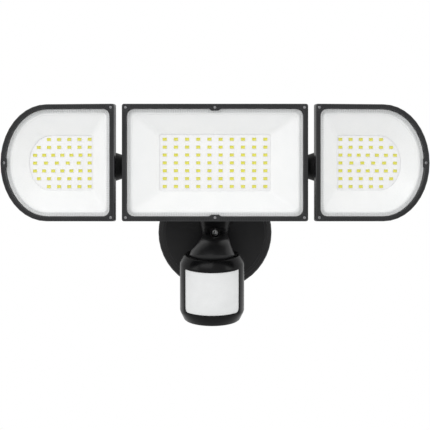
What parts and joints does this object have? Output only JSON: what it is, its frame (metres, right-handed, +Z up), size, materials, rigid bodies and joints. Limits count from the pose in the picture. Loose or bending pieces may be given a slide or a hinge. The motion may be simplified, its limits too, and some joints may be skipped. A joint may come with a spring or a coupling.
{
  "type": "floodlight with motion sensor",
  "caption": "Wall-mounted floodlight: black flat lamp heads in a row on a round canopy and curved arm, with a tilting motion sensor below.",
  "frame": {"origin": "centre of the wall plane behind the canopy", "axes": "+X to the viewer's right across the heads, -Y out of the wall towards the viewer, +Z up"},
  "size_m": [0.4024, 0.1395, 0.209],
  "materials": {
    "mounting_strap": "zinc plated",
    "wall_gasket": "matte",
    "canopy": "satin black",
    "arm": "satin black",
    "hardware": "zinc plated",
    "power_driver": "matte white",
    "lock_ring": "matte black",
    "bezel": "gloss black powder coat",
    "lens": "clear",
    "lens_gasket": "white silicone",
    "reflector": "satin white",
    "led_board": "white solder mask with light chips",
    "housing": "black powder coat",
    "bezel_screw": "dark plated",
    "knuckle": "matte black",
    "swivel": "matte black",
    "sensor_shell": "satin black",
    "sensor_lens": "frosted white",
    "sensor_board": "green solder mask",
    "pir_element": "bright metal can",
    "knob": "white"
  },
  "bodies": {
    "base": {"mounting_strap": "mounting_strap", "wall_gasket": "wall_gasket", "canopy": "canopy", "arm_body": "arm", "canopy_screw": "hardware", "arm_screw_left": "hardware", "arm_screw_right": "hardware", "ground_screw": "hardware", "power_driver": "power_driver", "lock_ring": "lock_ring"},
    "center_head": {"center_bezel": "bezel", "center_lens": "lens", "center_lens_gasket": "lens_gasket", "center_reflector": "reflector", "center_led_board": "led_board", "center_housing": "housing", "center_screw_left_low": "bezel_screw", "center_screw_left_high": "bezel_screw", "center_screw_right_low": "bezel_screw", "center_screw_right_high": "bezel_screw", "center_screw_low": "bezel_screw", "center_screw_high": "bezel_screw", "hinge_bolt": "hardware", "hinge_nut": "hardware", "hinge_washer": "hardware"},
    "left_knuckle": {"left_knuckle": "knuckle", "left_tilt_bolt": "hardware"},
    "left_head": {"left_bezel": "bezel", "left_lens": "lens", "left_lens_gasket": "lens_gasket", "left_reflector": "reflector", "left_led_board": "led_board", "left_housing": "housing", "left_screw_low": "bezel_screw", "left_screw_high": "bezel_screw", "left_screw_outer": "bezel_screw", "left_pan_pin": "hardware"},
    "right_knuckle": {"right_knuckle": "knuckle", "right_tilt_bolt": "hardware"},
    "right_head": {"right_bezel": "bezel", "right_lens": "lens", "right_lens_gasket": "lens_gasket", "right_reflector": "reflector", "right_led_board": "led_board", "right_housing": "housing", "right_screw_low": "bezel_screw", "right_screw_high": "bezel_screw", "right_screw_outer": "bezel_screw", "right_pan_pin": "hardware"},
    "sensor_swivel": {"swivel_cup": "swivel"},
    "sensor": {"sensor_ball": "swivel", "sensor_front": "sensor_shell", "sensor_rear": "sensor_shell", "sensor_lens": "sensor_lens", "sensor_board": "sensor_board", "pir_element": "pir_element"},
    "time_knob": {"time_knob": "knob"},
    "lux_knob": {"lux_knob": "knob"},
    "range_knob": {"range_knob": "knob"}
  },
  "joints": [
    {"name": "head_tilt", "type": "hinge", "parent": "base", "child": "center_head", "pos_m": [0, -0.084, 0.0414], "axis": [1, 0, 0], "range_deg": [-40, 35]},
    {"name": "left_tilt", "type": "hinge", "parent": "center_head", "child": "left_knuckle", "pos_m": [-0.0847, -0.109, 0.0622], "axis": [1, 0, 0], "range_deg": [-45, 45]},
    {"name": "left_pan", "type": "hinge", "parent": "left_knuckle", "child": "left_head", "pos_m": [-0.0987, -0.109, 0.0622], "axis": [0, 0, -1], "range_deg": [-10, 48]},
    {"name": "right_tilt", "type": "hinge", "parent": "center_head", "child": "right_knuckle", "pos_m": [0.0847, -0.109, 0.0622], "axis": [1, 0, 0], "range_deg": [-45, 45]},
    {"name": "right_pan", "type": "hinge", "parent": "right_knuckle", "child": "right_head", "pos_m": [0.0987, -0.109, 0.0622], "axis": [0, 0, 1], "range_deg": [-10, 48]},
    {"name": "sensor_pan", "type": "hinge", "parent": "base", "child": "sensor_swivel", "pos_m": [-0.0028, -0.074, -0.0176], "axis": [0, 0, 1], "range_deg": [-60, 60]},
    {"name": "sensor_tilt", "type": "hinge", "parent": "sensor_swivel", "child": "sensor", "pos_m": [-0.0028, -0.074, -0.0176], "axis": [1, 0, 0], "range_deg": [-20, 12]},
    {"name": "time_turn", "type": "hinge", "parent": "sensor", "child": "time_knob", "pos_m": [-0.0168, -0.0666, -0.0845], "axis": [0, -0.2419, 0.9703], "range_deg": [-135, 135]},
    {"name": "lux_turn", "type": "hinge", "parent": "sensor", "child": "lux_knob", "pos_m": [-0.0028, -0.0666, -0.0845], "axis": [0, -0.2419, 0.9703], "range_deg": [-135, 135]},
    {"name": "range_turn", "type": "hinge", "parent": "sensor", "child": "range_knob", "pos_m": [0.0112, -0.0666, -0.0845], "axis": [0, -0.2419, 0.9703], "range_deg": [-135, 135]}
  ]
}
